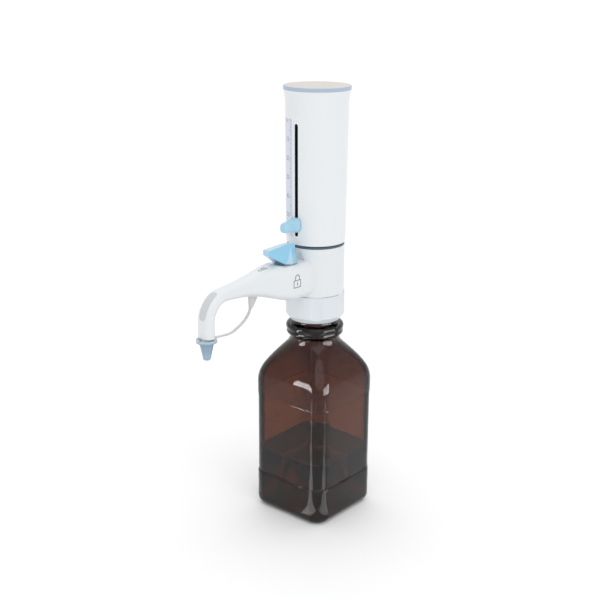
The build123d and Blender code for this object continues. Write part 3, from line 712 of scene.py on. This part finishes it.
def base_rings(half, corner, round_radius, floor):
    """The quarter round between the floor and the upright wall."""
    return [
        rounded_ring(
            half - round_radius * (1 - math.sin(math.radians(angle))),
            corner - round_radius * (1 - math.sin(math.radians(angle))),
            floor + round_radius * (1 - math.cos(math.radians(angle))),
        )
        for angle in range(0, 91, 10)
    ]


def label_step(level, sign):
    """The small groove and ledge where the flat panel for the label begins or ends."""
    # Each step is a distance before the edge and how deep the wall lies there.
    steps = (
        (1.4, 0.0), (0.9, 0.05), (0.5, 0.3), (0.15, 0.9), (-0.15, 1.1), (-0.5, 0.95), (-0.9, 0.65),
        (-1.4, 0.6),
    )
    rings = [
        rounded_ring(BODY_HALF - sunk, BODY_CORNER - sunk, level - sign * before)
        for before, sunk in steps
    ]
    return rings if sign > 0 else list(reversed(rings))


profile = smooth_line(drawn_in, 5)
outside = base_rings(BODY_HALF, BODY_CORNER, BASE_ROUND, 0.0)
outside += label_step(LABEL_LOW, 1) + label_step(LABEL_HIGH, -1)
outside += [
    shoulder_ring(climb, drawn, BODY_HALF, BODY_CORNER, NECK_RADIUS, SHOULDER_RISE)
    for climb, drawn in profile
]
outside += [rounded_ring(radius, radius, height) for radius, height in outside_neck]
inside = base_rings(BODY_HALF - WALL, INSIDE_CORNER, BASE_ROUND - WALL, FLOOR_THICK)
inside += [
    shoulder_ring(
        climb, drawn, BODY_HALF - WALL, INSIDE_CORNER, NECK_RADIUS - WALL, SHOULDER_RISE - WALL
    )
    for climb, drawn in profile
]
inside += [rounded_ring(radius, radius, height) for radius, height in reversed(inside_neck)]
# The base is pushed up in the middle. The floor stays below the filling tube at its lowest.
push_up = [
    rounded_ring(half, half * 0.5, height)
    for half, height in ((18.0, 1.6), (30.0, 0.7), (34.5, 0.05))
]
inner_floor = [
    rounded_ring(half, half * 0.5, height) for half, height in ((18.0, 5.2), (30.0, 4.8))
]
bottle_wall = inner_floor + inside + list(reversed(outside)) + list(reversed(push_up))
bottle = piece_from("bottle_glass", *stacked(bottle_wall), "amber_glass", "bottle")
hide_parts("reagent_bottle")
print("bottle rings", len(inside) + len(outside), "mouth at", outside_neck[-1][1], "mm")

# %% [markdown]
# ## Prints
# Ink lies on a surface as a film a few hundredths of a millimetre thick. Each print is drawn flat,
# cut into short pieces, and laid on the moulding by casting every point onto it from outside.


# %% Helper: lay flat marks on a surface
FILM = 0.04 * MM


def surface_of(node):
    mesh = bmesh.new()
    mesh.from_mesh(nodes[node].data)
    tree = BVHTree.FromBMesh(mesh)
    mesh.free()
    return tree


def laid(quads, start_of, tree):
    """Casts each flat quad on the tree. start_of turns a flat point into a start and a direction."""
    points, faces = [], []
    for quad in quads:
        hits = []
        for corner in quad:
            start, direction = start_of(*corner)
            spot, normal, _, _ = tree.ray_cast(start, direction)
            if spot is None:
                break
            if normal.dot(direction) > 0:
                normal = -normal
            hits.append((spot - normal * FILM * 0.5, spot + normal * FILM))
        if len(hits) < len(quad):
            continue
        base = len(points)
        count = len(quad)
        points += [low for low, _ in hits] + [high for _, high in hits]
        top = [base + count + k for k in range(count)]
        faces.append(tuple(top))
        faces.append(tuple(reversed(range(base, base + count))))
        for k in range(count):
            following = (k + 1) % count
            faces.append((base + k, base + following, top[following], top[k]))
    return points, faces


def stroke(path, width, closed=False, longest=1.2):
    """Quads along a flat path of (across, up) points in millimetres."""
    ends = list(path) + ([path[0]] if closed else [])
    quads = []
    for a, b in zip(ends, ends[1:]):
        a, b = Vector(a), Vector(b)
        along = (b - a).normalized()
        side = Vector((-along.y, along.x)) * width / 2
        a, b = a - along * width / 2, b + along * width / 2
        count = max(1, math.ceil((b - a).length / longest))
        for k in range(count):
            p, q = a.lerp(b, k / count), a.lerp(b, (k + 1) / count)
            quads.append([p + side, q + side, q - side, p - side])
    return quads


# %% [markdown]
# The inks are plain: a mid grey for the pictograms and a violet grey for the volume scale.

# %% Inks
ink_slots = {"grey_ink": "white_housing", "scale_ink": "scale_lavender"}
for name, colour in (("grey_ink", (0.12, 0.13, 0.15)), ("scale_ink", (0.20, 0.21, 0.30))):
    ink = Finish(name, colour)
    patch = ink.noise(900.0, 4.0, 0.6)
    ink.feed("Base Color", ink.mix(patch, shade(colour, 0.85), shade(colour, 1.2)))
    ink.feed("Roughness", 0.42 + patch * 0.15)
    ink.feed("Normal", ink.bump(patch, 0.000004))
    finishes[name] = ink


def printed(name, quads, start_of, tree, ink, body):
    points, faces = laid(quads, start_of, tree)
    mark = piece_from(name, points, faces, ink_slots[ink], body, smooth=False)
    mark.data.materials.clear()
    mark.data.materials.append(finishes[ink].material)
    return mark


# %% [markdown]
# ## Pictograms
# A closed padlock on the flank of the arm's boss says that the lever locks the line there, and an
# open one on top of the arm marks the other position. Both are a rounded body, a bow and a keyhole.

# %% Padlocks
def padlock(middle, low, width, height, bow, line, is_open=False):
    half = width / 2
    body = stroke([
        (middle - half, low), (middle + half, low),
        (middle + half, low + height), (middle - half, low + height),
    ], line, closed=True)
    radius = width * 0.30
    lift = low + height + bow - radius
    arc = [
        (middle + radius * math.cos(math.radians(a)), lift + radius * math.sin(math.radians(a)))
        for a in range(0, 181, 20)
    ]
    foot = lift - radius * 0.2 if is_open else low + height
    bow_line = [(middle + radius, low + height), *arc, (middle - radius, foot)]
    keyhole = stroke([(middle, low + height * 0.35), (middle, low + height * 0.65)], line * 1.3)
    return body + stroke(bow_line, line) + keyhole


head_surface = surface_of("head_housing")
printed(
    "closed_lock_mark",
    padlock(47.4, 248.0, 8.8, 6.9, 5.3, 0.75),
    lambda reach, height: (Vector((0.03, -reach * MM, height * MM)), Vector((-1, 0, 0))),
    head_surface, "grey_ink", "head",
)
printed(
    "open_lock_mark",
    padlock(0.3, 73.6, 4.8, 4.4, 4.4, 0.85, is_open=True),
    lambda across, reach: (Vector((across * MM, -reach * MM, 0.30)), Vector((0, 0, -1))),
    head_surface, "grey_ink", "head",
)

# %% [markdown]
# ## Volume scale
# The sleeve rises as far as the selector lets it, so the scale counts down from the top of the slot:
# nothing at the top, fifty millilitres at the foot. The bore's area turns each ten millilitres into
# eighteen millimetres. Long ticks carry a number, middle ticks the fives, short ticks the ones.

# %% Scale ticks and numbers
SCALE_TOP = 401.4
TEN_ML = 18.1
TICK_START, TICK_LONG, TICK_MIDDLE, TICK_SHORT = 13.2, 19.0, 17.6, 16.0
scale_surface = surface_of("scale_strip")


def on_scale(angle, height):
    """From outside, level, towards the sleeve's axis at an angle measured from the slot."""
    turn = math.radians(angle)
    outward = Vector((-math.sin(turn), -math.cos(turn), 0))
    return outward * 0.05 + Vector((0, 0, height * MM)), -outward


tick_quads = []
for count in range(51):
    length = TICK_LONG if count % 10 == 0 else TICK_MIDDLE if count % 5 == 0 else TICK_SHORT
    level = SCALE_TOP - count * TEN_ML / 10
    half = 0.22 if count % 5 == 0 else 0.16
    for step in range(3):
        a = TICK_START + (length - TICK_START) * step / 3
        b = TICK_START + (length - TICK_START) * (step + 1) / 3
        tick_quads.append([(a, level - half), (b, level - half), (b, level + half), (a, level + half)])
printed("scale_ticks", tick_quads, on_scale, scale_surface, "scale_ink", "plunger")

SEGMENT_DIGITS = {
    "0": [[(0, 0), (2, 0), (2, 4), (0, 4), (0, 0)]],
    "1": [[(1, 0), (1, 4), (0.3, 3.2)]],
    "2": [[(0, 3.4), (0.6, 4), (1.5, 4), (2, 3.3), (2, 2.6), (0, 0), (2, 0)]],
    "3": [[(0, 4), (2, 4), (1, 2.4), (2, 1.6), (2, 0.6), (1.4, 0), (0, 0.2)]],
    "4": [[(1.5, 0), (1.5, 4), (0, 1.2), (2.2, 1.2)]],
    "5": [[(2, 4), (0.2, 4), (0, 2.3), (1.4, 2.4), (2, 1.6), (2, 0.7), (1.3, 0), (0, 0.2)]],
}
DIGIT, DIGIT_WIDEN, DIGIT_LINE = 0.92, 1.9, 0.42
NUMBER_START, DIGIT_GAP = 27.0, 5.6
number_quads = []
for tens in range(6):
    label = str(tens * 10)
    level = SCALE_TOP - tens * TEN_ML - 2 * DIGIT
    for place, digit in enumerate(label):
        offset = NUMBER_START + (len(label) - 1) * 2.6 - place * DIGIT_GAP
        for path in SEGMENT_DIGITS[digit]:
            flat = [(-x * DIGIT, y * DIGIT) for x, y in path]
            for quad in stroke(flat, DIGIT_LINE, longest=0.9):
                number_quads.append([(offset + p.x * DIGIT_WIDEN, level + p.y) for p in quad])
printed("scale_numbers", number_quads, on_scale, scale_surface, "scale_ink", "plunger")

# %% [markdown]
# ## Reagent
# The bottle is about a third full. The liquid is a closed shape that reaches a tenth of a millimetre
# into the glass, because a gap would show as a silvery film of air. Its flat surface turns up
# slightly at the wall.

# %% Reagent
reagent = Finish("reagent", (0.2, 0.25, 0.3))
swirl = reagent.noise(30.0, 2.0)
reagent.feed("Base Color", reagent.mix(swirl, (0.90, 0.93, 0.95), (0.94, 0.96, 0.98)))
reagent.feed("Roughness", 0.0)
reagent.feed("Transmission Weight", 1.0)
reagent.feed("IOR", 1.33)
reagent.feed("Normal", reagent.bump(swirl, 0.00005))
absorbing(reagent, (0.35, 0.45, 0.5), 3.0)
finishes["reagent"] = reagent

LIQUID_HALF, LIQUID_TOP = BODY_HALF - WALL + 0.1, 64.6
# The last two rings dip the surface behind its edge, where it creeps up the glass.
liquid_rings = base_rings(LIQUID_HALF, INSIDE_CORNER, BASE_ROUND - WALL, FLOOR_THICK + 0.5)
liquid_rings += [rounded_ring(LIQUID_HALF, INSIDE_CORNER, level) for level in (30.0, LIQUID_TOP)]
liquid_rings += [
    rounded_ring(LIQUID_HALF - 1.3, INSIDE_CORNER - 1.3, LIQUID_TOP - 0.6),
    rounded_ring(LIQUID_HALF - 4.3, INSIDE_CORNER - 4.3, LIQUID_TOP - 0.8),
]
liquid = piece_from("reagent_liquid", *stacked(liquid_rings), "amber_glass", "bottle")
liquid.data.materials.clear()
liquid.data.materials.append(finishes["reagent"].material)

# %% [markdown]
# ## Studio
# A wide pale floor and a pale surround give the soft, almost shadowless light of a product shot. The
# surround lights the object a little less than the camera sees of it, so that the background stays
# white while the mouldings keep their tone. Two very wide suns, one beside the camera and one behind
# the object, model the white pieces without a hard edge.

# %% Floor
floor_finish = Finish("studio_floor", (0.9, 0.9, 0.9))
paper = floor_finish.noise(4.0, 2.0)
floor_finish.feed("Base Color", floor_finish.mix(paper, (0.95, 0.95, 0.955), (0.97, 0.97, 0.975)))
floor_finish.feed("Roughness", 0.7)
floor_finish.feed("Specular IOR Level", 0.2)
FLOOR_SIDE = 30.0
mesh = bpy.data.meshes.new("studio_floor")
corner = FLOOR_SIDE / 2
mesh.from_pydata(
    [(-corner, -corner, 0), (corner, -corner, 0), (corner, corner, 0), (-corner, corner, 0)],
    [],
    [(0, 1, 2, 3)],
)
mesh.materials.append(floor_finish.material)
floor = bpy.data.objects.new("studio_floor", mesh)
bpy.context.scene.collection.objects.link(floor)

# %% Surround and wide suns
SURROUND_LIGHT, SURROUND_SEEN = 0.80, 1.0
world = bpy.data.worlds.new("studio")
world.use_nodes = True
world.node_tree.nodes["Background"].inputs["Color"].default_value = (1.0, 1.0, 1.0, 1.0)
backdrop = world.node_tree.nodes["Background"]
seen = world.node_tree.nodes.new("ShaderNodeLightPath")
level = world.node_tree.nodes.new("ShaderNodeMapRange")
level.inputs["To Min"].default_value = SURROUND_LIGHT
level.inputs["To Max"].default_value = SURROUND_SEEN
world.node_tree.links.new(seen.outputs["Is Camera Ray"], level.inputs["Value"])
world.node_tree.links.new(level.outputs[0], backdrop.inputs["Strength"])
bpy.context.scene.world = world
bpy.context.scene.view_settings.view_transform = "Standard"


def studio_lamp(name, kind, place, aim):
    light = bpy.data.lights.new(name, kind)
    lamp = bpy.data.objects.new(name, light)
    bpy.context.scene.collection.objects.link(lamp)
    lamp.location = place
    lamp.rotation_euler = (aim - place).to_track_quat("-Z", "Y").to_euler()
    lamp.visible_camera = False
    return lamp


def around(azimuth, distance, height):
    """A place seen from the object's axis: azimuth 0 is -Y and azimuth 90 is +X."""
    turn = math.radians(azimuth)
    return Vector((distance * math.sin(turn), -distance * math.cos(turn), height))


def soft_box(name, azimuth, distance, height, size, radiance, aim=0.15):
    """A rectangle of light that faces the object's axis. Its radiance is counted in whites."""
    lamp = studio_lamp(name, "AREA", around(azimuth, distance, height), Vector((0, 0, aim)))
    lamp.data.shape = "RECTANGLE"
    lamp.data.size, lamp.data.size_y = size
    lamp.data.energy = radiance * math.pi * size[0] * size[1]
    return lamp


def wide_sun(name, azimuth, elevation, strength, spread):
    """A sun whose disc is many degrees across, which softens every shadow."""
    height = math.tan(math.radians(elevation))
    lamp = studio_lamp(name, "SUN", around(azimuth, 1.0, height), Vector((0, 0, 0)))
    lamp.data.energy = strength
    lamp.data.angle = math.radians(spread)
    return lamp


wide_sun("key_light", 58, 45, 0.66, 60)
wide_sun("back_light", 215, 58, 0.62, 70)

# %% [markdown]
# ### Highlights on the glass
# Glass shows little but what it mirrors, so its shape is read from highlights. Soft boxes draw the
# bright spots on the shoulder, and two strips that lie on the floor draw the long lines down the
# front corner. They are linked to the bottle alone, so they don't wash out the white mouldings.

# %% Highlights
glass_only = bpy.data.collections.new("lit_by_highlights")
glass_only.objects.link(bottle)
highlights = [
    soft_box("left_highlight", -20.3, 1.0, 0.27, (0.52, 0.24), 13.0),
    soft_box("right_highlight", 101, 1.0, 0.22, (0.90, 0.44), 8.0),
]
STRIP_MIDDLE, STRIP_HEIGHT, STRIP_SIZE = 0.20, 0.002, (0.04, 0.36)
for name, start, azimuth, radiance in (
    ("left_strip", (0.038, -0.040), -14, 2.6),
    ("right_strip", (0.040, -0.038), 98, 2.0),
):
    strip = soft_box(name, azimuth, STRIP_MIDDLE, STRIP_HEIGHT, STRIP_SIZE, radiance)
    strip.location = around(azimuth, STRIP_MIDDLE, STRIP_HEIGHT) + Vector((*start, 0))
    strip.rotation_euler = (math.pi, 0, math.radians(azimuth))
    highlights.append(strip)
for lamp in highlights:
    lamp.light_linking.receiver_collection = glass_only
    lamp.visible_transmission = False
